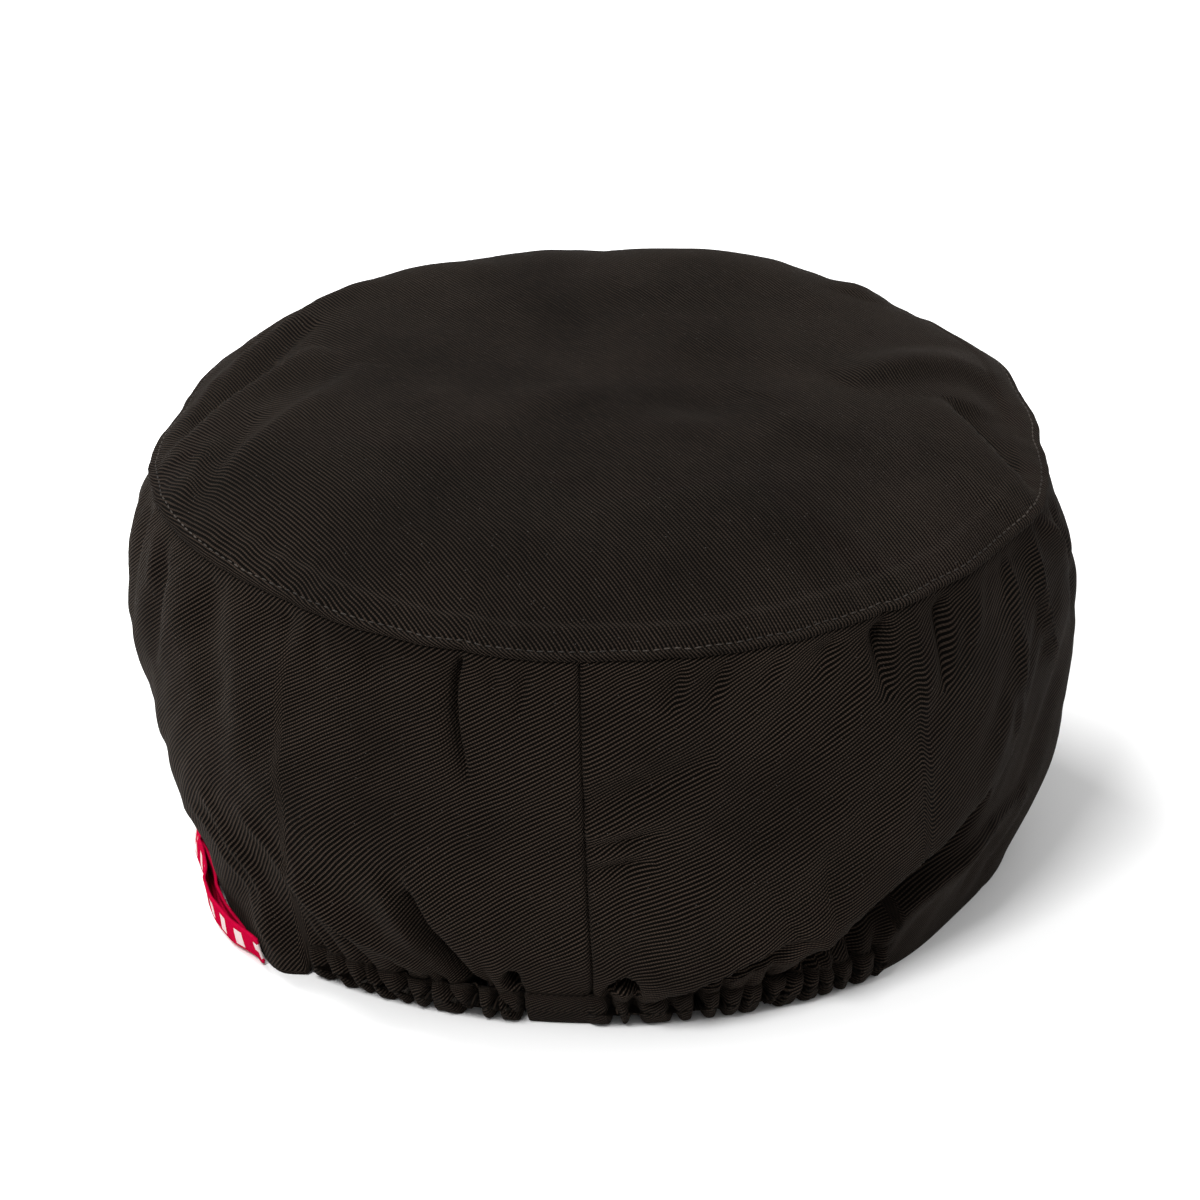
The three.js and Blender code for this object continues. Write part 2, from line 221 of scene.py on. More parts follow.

# %% [markdown]
# Cotton twill
#
# In a twill each thread passes over two and under one, a step further on in every row, so the cloth is
# covered with fine slanting ridges, here about 0.8 mm apart. Photographed cloth could be laid on it, but
# ridges worked out from the cloth's own flat measure keep their size everywhere and follow the folds. Across
# the ridges runs a rounded wave, and along each ridge the threads make short beads, which start half a bead
# later on the next ridge. Both shape the relief, and both are also painted into the colour, as a painted
# highlight on each ridge top and painted shade in the grooves between.
#
# Real twill isn't even. Thick threads, fuzz and wear change its tone, specks of lint lie on it, and the
# ridges show less in some soft patches and under the nap of the top panel. On the wearer's right of the wall,
# where less light grazes the ridges, a band has weaker painted ridge highlights and groove shade. Flat ridges
# would make the cloth darker there than it is, so such places gain a little tone.

# %% The twill finish
BEAD_LENGTH = 0.62
BEAD_DEPTH = 0.28
RIDGE_SWELL = 0.8  # past 0.5 the wave is cut off flat at its top and foot
RIDGE_STRAY = 1.6  # how far, in millimetres, the ridges stray from straight lines
# The twill's tone runs between these two colours. Part of it is the threads' own uneven tone, and part is
# painted shade in the grooves and painted highlight on the ridge tops.
DARK_THREAD_AND_GROOVE_SHADE = (0.0010, 0.0008, 0.0006, 1)
LIGHT_THREAD_AND_RIDGE_HIGHLIGHT = (0.0430, 0.0306, 0.0232, 1)
LINT = (0.16, 0.15, 0.14, 1)
THREAD_MEAN = 0.43
FLAT_GAIN = 0.17  # what a stretch with flat ridges gains in tone, so that it is no darker than the rest
LEAST_SHOWN = 0.5  # how much of the ridges shows in the softest patch
SHOWN_UNDER_NAP = 0.25  # how much of them shows in the middle of the nap
LESS_LIT_FADE = 0.55  # how much of the ridges' painted highlights and shade is gone in the middle of the less lit band
LINT_RADIUS = 0.07  # as a share of the distance between two specks
LINT_STRENGTH = 7
TONE = {"slub": 0.34, "fuzz": 0.50, "wear": 0.3}
RELIEF = {"thread": 0.8, "slub": 0.25, "fuzz": 0.3}
RELIEF_HEIGHT = 0.0003
# The noise is measured in waves to each millimetre of cloth.
STRAY_SCALE = 0.045
FUZZ_SCALE = 6.0
WEAR_SCALE = 0.035
PATCH_SCALE = 0.028
LINT_SCALE = 0.55
SLUB_SCALES = (0.25, 1.6)  # along the ridges and across them


def twill(name, pitch, lean, grip, ground, brushed=None, less_lit_band=None):
    """Twill whose ridges lie a pitch apart, in millimetres, and lean by that many degrees. The grip is how
    strongly they show, and the ground how dark the cloth is. Brushed is the radius, in millimetres, inside
    which wear has raised a nap over them. The last argument gives the middle and reach of a band where less
    light grazes the ridges, so their painted highlights and groove shade are weaker there."""
    cloth = Finish(name)
    place, x, y = cloth.flat_measure()
    c = np.cos(np.radians(lean))
    s = np.sin(np.radians(lean))
    across = y * c - x * s + cloth.noise(place, STRAY_SCALE) * RIDGE_STRAY
    along = x * c + y * s

    ridge = (across.wave(pitch) * RIDGE_SWELL + 0.5).between(0, 1)
    half_bead = (across * (1 / pitch)).math("FLOOR") * 0.5
    bead = (along * (1 / BEAD_LENGTH) + half_bead).wave(1) * 0.5 + 0.5
    thread = ridge * (1 - BEAD_DEPTH + BEAD_DEPTH * bead)

    shows = (cloth.noise(place, PATCH_SCALE) * 2.4 - 0.2).between(LEAST_SHOWN, 1)
    if brushed:
        from_middle = (x * x + y * y) * (1 / brushed**2)
        shows = shows * (from_middle.math("MINIMUM", 1) * (1 - SHOWN_UNDER_NAP) + SHOWN_UNDER_NAP)
    # A band of the wall where less light grazes the ridges, so their painted highlights and shade are weaker.
    if less_lit_band:
        middle, reach = less_lit_band
        off = (x - middle) * (1 / reach)
        shows = shows * (1 - (1 - off * off).math("MAXIMUM", 0) * LESS_LIT_FADE)

    slub_place = cloth.node("CombineXYZ", None, {0: along * SLUB_SCALES[0], 1: across * SLUB_SCALES[1]})
    slub = cloth.noise(slub_place, 1.0, 3.0)
    fuzz = cloth.noise(place, FUZZ_SCALE)
    wear = cloth.noise(place, WEAR_SCALE, 4.0)
    # The ridges in the colour: a painted highlight on their tops and painted shade in the grooves.
    ribs = (thread - THREAD_MEAN) * shows * grip
    flat = (1 - shows) * (grip * FLAT_GAIN)
    tone = ribs + flat + slub * TONE["slub"] + fuzz * TONE["fuzz"] + wear * TONE["wear"] - ground
    base = cloth.mix(tone.between(0, 1), DARK_THREAD_AND_GROOVE_SHADE, LIGHT_THREAD_AND_RIDGE_HIGHLIGHT)

    lint_place = cloth.node("VectorMath", {"operation": "SCALE"}, {0: place, "Scale": LINT_SCALE})
    from_speck = cloth.node("TexVoronoi", {"feature": "F1"}, {"Vector": lint_place, "Scale": 1.0})
    lint = (LINT_RADIUS - from_speck).math("MAXIMUM", 0) * LINT_STRENGTH
    base = cloth.mix(lint, base, LINT)

    relief = thread * shows * RELIEF["thread"] + slub * RELIEF["slub"] + fuzz * RELIEF["fuzz"]
    bump = cloth.node("Bump", None, {"Strength": 1.0, "Distance": RELIEF_HEIGHT, "Height": relief})
    return cloth.end(
        Base_Color=base,
        Roughness=0.88 + fuzz * 0.08,
        Normal=bump,
        Sheen_Weight=0.022,
        Sheen_Roughness=0.35,
        Sheen_Tint=(0.95, 0.82, 0.70, 1),
        Specular_IOR_Level=0.03,
    )


WALL_PITCH = 0.85
TIP_PITCH = 0.73
WALL_LEAN = 36
CASING_LEAN = 33
TIP_LEAN = 54
# The wall's band where less light grazes the ridges, and their painted highlights and shade are weaker.
WALL_LESS_LIT_BAND = (110, 64)  # on the wearer's right, as the middle and reach on the flat strip
NAP_RADIUS = 92
# The three pieces are cut from one twill, but each has its own ground, set so that it comes out as bright as
# the real piece does under these lamps. So the grounds differ partly to even out the pieces' different grips,
# and partly as painted light and shade.
finishes = {
    "twill_wall": twill("twill wall", WALL_PITCH, WALL_LEAN, 2.0, 0.74, less_lit_band=WALL_LESS_LIT_BAND),
    "twill_casing": twill("twill casing", WALL_PITCH, CASING_LEAN, 1.6, 0.70),
    "twill_crown": twill("twill crown", TIP_PITCH, TIP_LEAN, 1.3, 0.64, brushed=NAP_RADIUS),
}
print("finishes:", sorted(finishes))

# %% [markdown]
# The cap's plan and height
#
# The cap is a little squarer at the brow than behind, and from side to side its hem is narrower than its
# crown seam. A place on it is an azimuth, in degrees from the middle of the back towards the wearer's right,
# and a share of the way up the wall. These few curves say where the smooth wall would stand, before any
# fold. From hem to seam it is one curve with two handles, which are drawn outwards. All work on whole arrays
# of places at once.

# %% The smooth form
AXIS = np.array([0.51, 0.23])  # the cap's own middle, in the frame, in millimetres
HEM_HALF_WIDTH = 90
HEM_TO_BACK = 90
HEM_TO_FRONT = 92
CROWN_HALF_WIDTH = 95
CROWN_TO_BACK = 86
CROWN_TO_FRONT = 94.5
WALL_HEIGHT = 87
BACK_DROP = 7.5
FRONT_RISE = 8.5
SQUARENESS = 0.97
POUCH_OUT = (14.5, 6, 6)  # how far the lower handle is drawn out at the back, side and front
SHOULDER_OUT = (8, 12.5, 8)  # and the upper one
# Where an outline is pushed: the azimuth, the width in degrees and how far out.
CROWN_PUSHED = ((-104, 12, -1.8), (-140, 20, 3.4), (120, 15, 4.4), (152, 14, 3.0), (90, 9, -0.6))
HEM_PUSHED = ((60, 14, -3.0), (76, 8, -0.6))


def outward(azimuth):
    """The direction straight out of the cap."""
    angle = np.radians(azimuth)
    return np.stack([-np.sin(angle), np.cos(angle)], axis=-1)


def sideways(azimuth):
    """The direction in which the azimuth grows."""
    angle = np.radians(azimuth)
    return np.stack([-np.cos(angle), -np.sin(angle)], axis=-1)


def around(azimuth, back, side, front):
    """A value that changes round the cap from the back over the sides to the front."""
    c = np.cos(np.radians(azimuth))
    return side * (1 - c**2) + np.where(c > 0, back, front) * c**2


def plan(azimuth, half_width, to_back, to_front):
    """A point of an outline that is squarer in front than behind."""
    direction = outward(azimuth)
    in_front = direction[..., 1] < 0
    power = np.where(in_front, SQUARENESS, (1 + SQUARENESS) / 2)[..., None]
    full = np.sign(direction) * np.abs(direction) ** power
    reach = np.where(in_front, to_front, to_back)
    return np.stack([full[..., 0] * half_width, full[..., 1] * reach], axis=-1)


def seam_height(azimuth):
    return WALL_HEIGHT + around(azimuth, -BACK_DROP, 0, FRONT_RISE)


def pushed(azimuth, places):
    """How far an outline is pushed in or out, in millimetres."""
    total = 0
    for middle, width, out in places:
        apart = (azimuth - middle + 180) % 360 - 180
        total = total + out * bell(apart, width)
    return outward(azimuth) * total[..., None]


def crown_plan(azimuth):
    return plan(azimuth, CROWN_HALF_WIDTH, CROWN_TO_BACK, CROWN_TO_FRONT) + pushed(azimuth, CROWN_PUSHED)


def wall_plan(azimuth, height):
    """Where the smooth wall passes at a share of its height, seen from above."""
    t = np.clip(height, 0, 1)[..., None]
    direction = outward(azimuth)
    hem = plan(azimuth, HEM_HALF_WIDTH, HEM_TO_BACK, HEM_TO_FRONT) + pushed(azimuth, HEM_PUSHED)
    crown = crown_plan(azimuth)
    pouch = hem + direction * around(azimuth, *POUCH_OUT)[..., None]
    shoulder = crown + direction * around(azimuth, *SHOULDER_OUT)[..., None]
    u = 1 - t
    return u**3 * hem + 3 * u**2 * t * pouch + 3 * u * t**2 * shoulder + t**3 * crown


def bell(distance, width):
    return np.exp(-((distance / width) ** 2))


def ease(value, start, end):
    """0 before the start, 1 past the end, and smooth between."""
    share = np.clip((value - start) / (end - start), 0, 1)
    return share * share * (3 - 2 * share)


print("seam height at the back, side and brow:", seam_height(np.array([0, 90, 180])))

# %% [markdown]
# Folds
#
# Cloth that is gathered or pushed together stands up in folds. They could come from a cloth simulation, but
# then they would lie where the solver likes. Here each main fold of the real cap is a row of a table: three
# points that it runs through, how far it fades to its left and right in millimetres, its rise (or depth,
# below 0), and a shove that pushes the crest over towards its left, so that it hangs over the valley there.

# %% How a fold moves the cloth
Fold = namedtuple("Fold", "az1 at1 az2 at2 az3 at3 left right rise shove")
FOLD_STEPS = 10
FOLD_REACH = 3  # in widths of the fold, past which it moves nothing
FOLD_END = 0.6  # below 1 a fold keeps its height longer towards its ends


def beside(line, place):
    """How far places lie from a line of points, on which side of it, how far along, and where its left is."""
    best = np.full(len(place), np.inf)
    side = np.zeros(len(place))
    along = np.zeros(len(place))
    left = np.zeros((len(place), 2))
    for step, (start, stop) in enumerate(zip(line, line[1:])):
        run = stop - start
        offset = place - start
        share = np.clip(offset @ run / (run @ run), 0, 1)
        distance = np.linalg.norm(offset - share[:, None] * run, axis=1)
        closer = distance < best
        best = np.where(closer, distance, best)
        side = np.where(closer, run[0] * offset[:, 1] - run[1] * offset[:, 0], side)
        along = np.where(closer, (step + share) / FOLD_STEPS, along)
        left[closer] = np.array([-run[1], run[0]]) / np.linalg.norm(run)
    return best, side, along, left


def fold_rise(folds, azimuth, at, to_map):
    """How far the folds lift each place, and how far they shove it along the map, in millimetres."""
    here = to_map(azimuth, at)
    rise = np.zeros(len(here))
    shove = np.zeros((len(here), 2))
    for fold in folds:
        ends = [to_map(np.array(a), np.array(h)) for a, h in zip(fold[0:6:2], fold[1:6:2])]
        handle = 2 * ends[1] - (ends[0] + ends[2]) / 2
        t = np.linspace(0, 1, FOLD_STEPS + 1)[:, None]
        line = (1 - t) ** 2 * ends[0] + 2 * (1 - t) * t * handle + t**2 * ends[2]
        reach = FOLD_REACH * max(fold.left, fold.right)
        near = np.all((here > line.min(0) - reach) & (here < line.max(0) + reach), axis=1)
        distance, side, along, left = beside(line, here[near])
        width = np.where(side > 0, fold.left, fold.right)
        strength = bell(distance, width) * np.sin(np.pi * along) ** FOLD_END
        rise[near] += fold.rise * strength
        shove[near] += fold.shove * strength[:, None] * left
    return rise, shove


def wall_map(azimuth, height):
    """The wall laid flat, in millimetres."""
    return np.stack([np.radians(azimuth) * CROWN_HALF_WIDTH, height * WALL_HEIGHT], axis=-1)


def tip_map(azimuth, reach):
    """The top panel laid flat, with the back upwards and the wearer's right to the right."""
    return (outward(azimuth) * reach[..., None] * [-1, 1]) * CROWN_HALF_WIDTH


# %% The folds of the wall
WALL_FOLDS = [Fold(*row) for row in (
    # Under the crown seam, on both sides of the centre-back seam.
    (-20, 1.04, -19, 0.86, -17, 0.62, 3.2, 9.0, 2.4, 0),
    (-15.8, 1.03, -17.0, 0.87, -15.0, 0.70, 0.9, 2.6, -1.4, 0),
    (-15.7, 1.03, -16.9, 0.87, -14.8, 0.68, 0.5, 0.8, -4.0, 0),
    (-8.4, 1.04, -8.6, 0.95, -9.2, 0.86, 1.0, 1.8, -1.7, 0),
    (-12.5, 1.04, -12.3, 0.96, -11.5, 0.90, 1.2, 1.6, -1.2, 0),
    (9.8, 1.04, 9.2, 0.95, 8.0, 0.87, 1.0, 2.8, -2.2, 0),
    (15.4, 1.04, 14.2, 0.95, 12.4, 0.87, 1.0, 3.0, -1.9, 0),
    (22, 1.04, 21, 0.96, 19.5, 0.9, 1.5, 3.0, -0.8, 0),
    (29, 1.04, 28.4, 0.95, 27, 0.88, 1.4, 2.6, -0.9, 0),
    (-28, 1.04, -28.5, 0.95, -28, 0.88, 2.2, 1.4, -0.9, 0),
    (-36, 1.04, -36, 0.94, -34, 0.85, 2.4, 1.6, -0.8, 0),
    (-42, 1.04, -41, 0.94, -39, 0.86, 2.4, 1.6, -0.7, 0),
    (37.2, 1.04, 36.2, 0.93, 35.6, 0.80, 1.2, 2.8, -4.6, 0),
    (41.4, 1.02, 41.0, 0.88, 39.4, 0.72, 3.4, 3.2, 1.4, 0),
    (46.6, 1.00, 45.6, 0.91, 44.2, 0.76, 1.2, 2.4, -3.2, 0),
    (54, 1.02, 52, 0.92, 49, 0.84, 2.4, 2.6, 1.4, 0),
    # Soft bands that run up from the seam towards the right.
    (-2, 0.60, 4.5, 0.68, 13, 0.735, 4.4, 2.4, -4.0, 0),
    (-2, 0.555, 4, 0.60, 12, 0.665, 2.4, 5.0, 1.4, 0),
    (-2, 0.52, 2, 0.55, 7, 0.585, 2.0, 1.6, -2.5, 0),
    (-2, 0.46, 2.2, 0.482, 6, 0.50, 1.7, 1.4, -2.1, 0),
    (0, 0.31, 12, 0.40, 30, 0.55, 7, 6, 1.8, 0),
    (6, 0.22, 18, 0.33, 36, 0.46, 6, 6, -1.2, 0),
    # The folds that fall to the gathered hem on the left.
    (-21.8, 0.385, -18.7, 0.280, -15.0, 0.09, 1.8, 2.8, -11.0, 0),
    (-22.4, 0.44, -16.8, 0.29, -11.6, 0.08, 8.0, 1.6, 3.0, -2.6),
    (-19.2, 0.31, -16.7, 0.20, -14.2, 0.07, 1.8, 3.4, -9.0, 0),
    (-27.0, 0.40, -22.4, 0.27, -18.4, 0.13, 1.6, 6.0, 3.6, 0.8),
    (-40, 0.29, -28.2, 0.20, -17, 0.09, 3.2, 1.8, 2.6, 0),
    (-60, 0.34, -50.5, 0.235, -39.6, 0.0, 1.6, 2.4, 1.6, 0),
    (-56, 0.42, -47.6, 0.25, -38.8, 0.02, 1.8, 2.2, 1.9, 0),
    (-48, 0.46, -40.5, 0.32, -31, 0.27, 1.8, 2.4, 1.4, 0),
    (-41, 0.42, -34.0, 0.25, -26, 0.13, 2.6, 2.2, 1.2, 0),
    # The left side.
    (-50, 1.02, -47.5, 0.82, -46, 0.50, 5.0, 5.0, 1.3, 0),
    (-57, 1.04, -55, 0.84, -51, 0.6, 6.8, 5.8, -2.6, 0),
    (-63.2, 1.0, -64.5, 0.95, -66, 0.9, 2.6, 2.6, 1.2, 0),
    (-68.8, 1.0, -69.5, 0.92, -70, 0.8, 3.0, 3.0, 1.4, 0),
    (-66, 1.02, -67.5, 0.84, -70, 0.62, 3.4, 4.4, -2.4, 0),
    (-77, 1.04, -78, 0.9, -80, 0.66, 3.6, 5.0, -2.4, 0),
    (-68, -0.2, -69, 0.02, -70, 0.26, 16, 16, -2.8, 0),
    (-98, 0.62, -88, 0.40, -74, 0.12, 17, 17, -3.8, 0),
    (-112, 0.04, -88, 0.14, -66, 0.2, 17, 17, -3.0, 0),
    (-43.8, -0.15, -43.8, 0.02, -46, 0.2, 11, 5, 5.0, 0),
    # The pouch that hangs over the gathers on the right, and the deep valleys between its folds.
    (2, 0.05, 13.5, 0.215, 27, 0.275, 14, 1.8, 4.2, -2.4),
    (7, 0.05, 14.0, 0.155, 26, 0.225, 1.8, 1.8, -6.5, 0),
    (12, 0.10, 20.4, 0.195, 30, 0.245, 1.8, 1.8, 3.4, 0),
    (18, 0.06, 29.0, 0.160, 38, 0.235, 1.5, 2.4, -6.0, 0),
    (20, 0.16, 29.0, 0.235, 38, 0.300, 4.0, 1.5, 2.4, -0.6),
    (30, 0.13, 40.0, 0.262, 56, 0.41, 2.2, 3.6, -10.5, 0),
    (24, 0.24, 37, 0.350, 60, 0.50, 12, 2.4, 4.0, -1.2),
    (38, 0.06, 46.0, 0.220, 72, 0.27, 1.8, 5.0, 3.0, 0.6),
    (98, 0.50, 82, 0.32, 66, 0.12, 15, 13, 2.6, 0),
    # The right side.
    (69.5, 1.04, 68, 0.83, 76, 0.56, 1.6, 1.8, 2.4, 0),
    (72.5, 1.02, 75, 0.90, 84, 0.74, 1.6, 3.2, 2.0, 0),
    (62, 1.04, 61, 0.8, 61, 0.5, 1.4, 1.8, 1.5, 0),
    (104, 0.86, 94, 0.66, 88, 0.36, 20, 20, 1.4, 0),
    (78, 1.04, 80, 0.86, 86, 0.6, 3.0, 4.0, -2.4, 0),
    (92, 1.04, 94, 0.9, 92, 0.7, 6.0, 6.0, -3.4, 0),
    # The front.
    (104, 1.04, 106, 0.88, 110, 0.7, 4, 7, 1.6, 0),
    (128, 1.04, 126, 0.84, 122, 0.6, 4.7, 8.7, -2.6, 0),
    (150, 1.04, 149, 0.9, 146, 0.75, 3, 5, -1.6, 0),
    (168, 1.04, 170, 0.9, 171, 0.7, 4, 3, -1.3, 0),
    (-104, 1.04, -102, 0.86, -98, 0.66, 5.7, 7.7, -2.1, 0),
    (-122, 1.04, -124, 0.9, -126, 0.7, 3, 6, -1.4, 0),
    (-140, 1.04, -142, 0.84, -138, 0.6, 6.4, 8.4, -2.1, 0),
    (-165, 1.04, -163, 0.9, -160, 0.75, 3, 5, -1.5, 0),
)]
print(len(WALL_FOLDS), "folds in the wall")

# %% The folds of the top panel
TIP_FOLDS = [Fold(*row) for row in (
    # The left side, from the edge towards the brow.
    (-86, 1.04, -110, 0.92, -142, 0.8, 4.6, 2.6, 3.2, 0),
    (-84, 0.99, -101, 0.87, -124, 0.77, 2.2, 3.6, -3.6, 0),
    (-78, 1.04, -95, 0.84, -114, 0.7, 6, 2, 3.4, 0),
    (-70, 0.9, -80, 0.7, -106, 0.56, 7, 2.6, 1.8, 0),
    (-64, 0.99, -74, 0.86, -88, 0.76, 2.4, 3.6, -1.9, 0),
    (-68, 0.97, -76, 0.91, -82, 0.86, 1.6, 2.4, 1.4, 0),
    # The right side, with the hollow at the edge.
    (94, 0.55, 107, 0.84, 113, 1.04, 3.6, 8, 4.2, 0),
    (72, 1.04, 82, 0.9, 95, 0.8, 9, 1.4, -8.0, 0),
    (69, 1.04, 79, 0.88, 93, 0.76, 1.6, 9, 2.2, 0),
    (84, 1.04, 95, 0.95, 106, 0.9, 3.4, 5, -3.0, 0),
    (92, 1.04, 102, 0.99, 112, 0.97, 2, 2, 2.2, 0),
    # Towards the brow, and one soft dip near the middle.
    (140, 1.04, 138, 0.92, 134, 0.8, 5.7, 5.7, 3, 0),
    (52, 0.12, 68, 0.24, 88, 0.34, 9, 9, -1.2, 0),
    (118, 0.9, 146, 0.8, 180, 0.8, 20, 20, 3.2, 0),
    (-122, 0.9, -142, 0.82, -160, 0.84, 11, 11, 2.2, 0),
)]
print(len(TIP_FOLDS), "folds in the top panel")

# %% [markdown]
# Gathers
#
# The elastic shortens its stretch of the hem by about a quarter, so the channel stands up in scallops with
# tight notches between them, and every notch runs on up the wall as a small gather that fades out. Most lean
# a little. One short stretch beside the centre-back seam, where the elastic's ends are sewn down, stays flat.
# Where the cloth is tucked in just above the channel it makes a small dark pit.

# %% The notches of the gathered hem
Notch = namedtuple("Notch", "azimuth lean depth width reach")
NOTCHES = [Notch(*row) for row in (
    (-36.6, 0.3, 0.7, 1.2, 7),
    (-33.2, 0.4, 0.8, 1.0, 9),
    (-30.4, 0.2, 0.6, 0.8, 5),
    (-27.8, 0.6, 1.1, 0.8, 9),
    (-24.5, 0.2, 0.9, 0.9, 5),
    (-21.6, -0.1, 0.8, 0.7, 8),
    (-18.0, 0.5, 1.1, 0.8, 6),
    (-15.6, 0.0, 1.3, 1.1, 7),
    (-12.8, 0.0, 1.0, 0.7, 9),
    (-11.0, 0.7, 0.7, 0.6, 4),
    (-9.4, 0.0, 1.1, 0.6, 6),
    (1.6, 0.2, 1.1, 0.8, 3),
    (4.2, 0.1, 1.1, 1.0, 7),
    (8.8, 0.3, 0.6, 0.8, 4),
    (12.2, 0.1, 1.4, 0.9, 5),
    (15.2, 0.0, 1.0, 0.7, 7),
    (17.9, -0.1, 0.5, 0.6, 4),
    (21.0, 0.0, 1.5, 0.9, 8),
    (23.2, -0.4, 0.9, 0.7, 5),
    (26.2, -0.2, 1.2, 0.8, 8),
    (28.8, 0.1, 0.6, 0.6, 4),
    (31.2, 0.2, 0.8, 0.8, 6),
    (34.0, 0.0, 1.3, 0.9, 9),
    (37.6, 0.0, 1.1, 0.9, 5),
)]
CASING_END = 40
CASING_HEIGHT = 8
NOTCH_DEPTH = 2.4
NOTCH_RISE = 1.9


def notch(azimuth, z, widening=0.0):
    """0 between the notches and 1.5 in the deepest. Above the channel they fade out and may widen."""
    deepest = np.zeros_like(azimuth, dtype=float)
    above_casing = np.maximum(z - CASING_HEIGHT, 0)
    for row in NOTCHES:
        middle = np.radians(azimuth - row.azimuth) * HEM_HALF_WIDTH + row.lean * (z - CASING_HEIGHT / 2)
        width = row.width * (1 + widening * above_casing / row.reach)
        depth = row.depth * np.exp(-((above_casing / row.reach) ** 1.5))
        deepest = np.maximum(deepest, depth * bell(middle, width))
    return deepest


# %% The pits above the channel
Pit = namedtuple("Pit", "azimuth z half_width half_height depth bend")
PITS = [Pit(*row) for row in (
    (-10.2, 11.6, 1.1, 1.9, 12.0, 0),
    (2.6, 13.2, 2.8, 1.5, 9.0, 0.30),
)]


def pitted(azimuth, z):
    """How deep the pits are at a place of the wall."""
    depth = np.zeros_like(azimuth, dtype=float)
    for pit in PITS:
        aside = np.radians(azimuth - pit.azimuth) * HEM_HALF_WIDTH
        up = z - pit.z + pit.bend * aside**2
        depth += pit.depth * np.exp(-(((aside / pit.half_width) ** 2 + (up / pit.half_height) ** 2) ** 2))
    return depth


print(len(NOTCHES), "notches and", len(PITS), "pits")

# %% [markdown]
# Small creases
#
# Between the main folds real twill is never smooth: it keeps faint waves from being folded and washed, and
# its seams draw it into short puckers. Smooth noise, stretched along the folds' direction, gives both. The
# broad waves rise about a millimetre, the smaller ones and the puckers beside a seam a few tenths.

# %% Waves and puckers
Wave = namedtuple("Wave", "lengths height seed")
WALL_BROAD = Wave((26, 26, 34), 1.5, 3.1)
WALL_MIDDLE = Wave((9, 9, 24), 0.55, 7.7)
WALL_SMALL = Wave((4.5, 4.5, 9), 0.12, 1.3)
WALL_PUCKER = Wave((4.2, 4.2, 22), 0.3, 12.4)
MIDDLE_LEAN = 0.45  # in degrees round the cap for each millimetre up
SMALL_LEAN = 0.3
TIP_BROAD = Wave((28, 36, 1), 0.8, 21.3)
TIP_MIDDLE = Wave((11, 14, 1), 0.2, 5.2)
TIP_PUCKER = Wave((5.2, 5.2, 30), 0.2, 15.9)


def waves(places, wave):
    """Smooth noise at places in space, with its own wave length for each direction, in millimetres."""
    scaled = places / np.array(wave.lengths) + wave.seed
    return np.array([noise.noise(Vector(place)) for place in scaled.tolist()]) * 2 * wave.height


def round_cap(azimuth, up):
    """A place on an upright tube, so that noise made there closes all the way round."""
    return np.column_stack([outward(azimuth) * CROWN_HALF_WIDTH, up])


def wall_waves(azimuth, height):
    up = height * WALL_HEIGHT
    from_seam = WALL_HEIGHT - up
    broad = waves(round_cap(azimuth, up), WALL_BROAD)
    middle = waves(round_cap(azimuth - up * MIDDLE_LEAN, up), WALL_MIDDLE)
    small = waves(round_cap(azimuth - up * SMALL_LEAN, up), WALL_SMALL)
    pucker = waves(round_cap(azimuth, up), WALL_PUCKER) * bell(np.maximum(from_seam, 0), 9)
    return broad + middle + small + pucker


def tip_waves(azimuth, reach):
    flat = np.column_stack([tip_map(azimuth, reach), np.zeros_like(reach)])
    from_seam = (1 - reach) * CROWN_HALF_WIDTH
    pucker = waves(round_cap(azimuth, from_seam), TIP_PUCKER) * bell(from_seam - 5, 7)
    return (waves(flat, TIP_BROAD) + waves(flat, TIP_MIDDLE)) * (1 - reach**6) + pucker


print("waves of the wall, in millimetres:", WALL_BROAD.height, WALL_MIDDLE.height, WALL_SMALL.height)

# %% [markdown]
# From a flat cut to a shaped sheet
#
# A tailor starts with flat cloth, and so does each sheet here: as a fine flat grid. Its first direction goes
# round the cap and its second one up it, so the grid also gives the flat measure that the twill needs. Then
# every vertex is moved to the place that the curves above give for it, and vertices that meet are merged.

# %% Cutting and placing
def flat_cut(columns, rows):
    """A flat grid from 0 to 1 both ways."""
    form = bmesh.new()
    bmesh.ops.create_grid(form, x_segments=columns, y_segments=rows, size=0.5)
    bmesh.ops.translate(form, verts=form.verts, vec=(0.5, 0.5, 0))
    return form


def as_piece(name, form, finish):
    """A smooth-shaded object from a bmesh."""
    mesh = bpy.data.meshes.new(name)
    form.to_mesh(mesh)
    form.free()
    mesh.shade_smooth()
    mesh.materials.append(finish)
    made = bpy.data.objects.new(name, mesh)
    bpy.context.scene.collection.objects.link(made)
    return made


def points_of(piece):
    flat = np.empty(len(piece.data.vertices) * 3)
    piece.data.vertices.foreach_get("co", flat)
    return flat.reshape(-1, 3)


LEAST_MORE = -0.3  # what may be counted as extra cloth, as a share of the smooth form
MOST_MORE = 0.7
MERGED = 2e-6


def cloth_used(places, columns, smooth):
    """How much more cloth the folds take up than the smooth form, round the cap and up it, in millimetres."""
    grids = [form.reshape(-1, columns + 1, 3) for form in (places, smooth)]
    extra = []
    for axis in (1, 0):
        folded, plain = [np.linalg.norm(np.diff(grid, axis=axis), axis=2) for grid in grids]
        more = np.clip(folded - plain, LEAST_MORE * plain, MOST_MORE * plain)
        padding = [(1, 0) if k == axis else (0, 0) for k in (0, 1)]
        extra.append(np.pad(np.cumsum(more, axis=axis), padding))
    return extra


